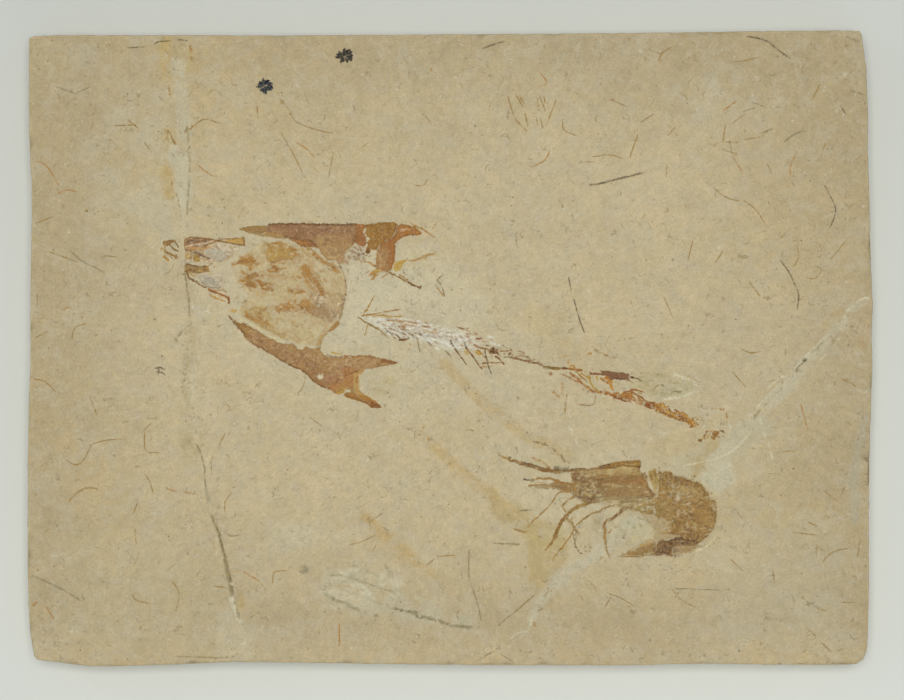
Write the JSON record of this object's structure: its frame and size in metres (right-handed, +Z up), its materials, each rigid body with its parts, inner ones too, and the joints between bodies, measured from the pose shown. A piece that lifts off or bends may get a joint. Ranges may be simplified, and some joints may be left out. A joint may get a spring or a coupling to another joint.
{
  "type": "fossil shrimp slab",
  "caption": "Rectangular slab of pale limestone with a curled fossil shrimp and a crushed fossil fish lying in low relief on its upper face.",
  "frame": {"origin": "middle of the slab's underside", "axes": "+X along the slab's long side, towards the shrimp's curled tail; +Y across the slab, from the shrimp towards the fish; +Z up, out of the face that carries the fossils"},
  "size_m": [0.253, 0.19, 0.0166],
  "materials": {
    "limestone": "matte, fine-grained, split surface",
    "shrimp_shell": "satin, mottled brown mineralised shell",
    "plum_bone": "satin, plum-brown mineralised bone",
    "ochre_bone": "satin, ochre mineralised bone",
    "grey_bone": "satin, grey mineralised eye capsule",
    "dark_bone": "satin, dark brown mineralised bone"
  },
  "bodies": {
    "root": {"slab": "limestone", "shrimp": "shrimp_shell", "fish_snout_tip": "dark_bone", "fish_snout": "plum_bone", "fish_upper_eye": "grey_bone", "fish_lower_eye": "grey_bone", "fish_jaw_plate": "dark_bone", "fish_chin_bone": "dark_bone", "fish_skull": "ochre_bone", "fish_upper_plate": "plum_bone", "fish_upper_spine": "ochre_bone", "fish_lower_plate": "plum_bone", "fish_fin_ray": "dark_bone", "fish_neck_bones": "dark_bone", "fish_back_bones": "dark_bone", "fish_front_rib": "dark_bone", "fish_second_rib": "dark_bone", "fish_middle_vertebrae": "dark_bone", "fish_backbone": "dark_bone", "fish_tail_rays": "ochre_bone", "fish_tail_stem": "ochre_bone", "fish_tail_end_front": "ochre_bone", "fish_tail_end_rear": "ochre_bone"}
  },
  "joints": []
}
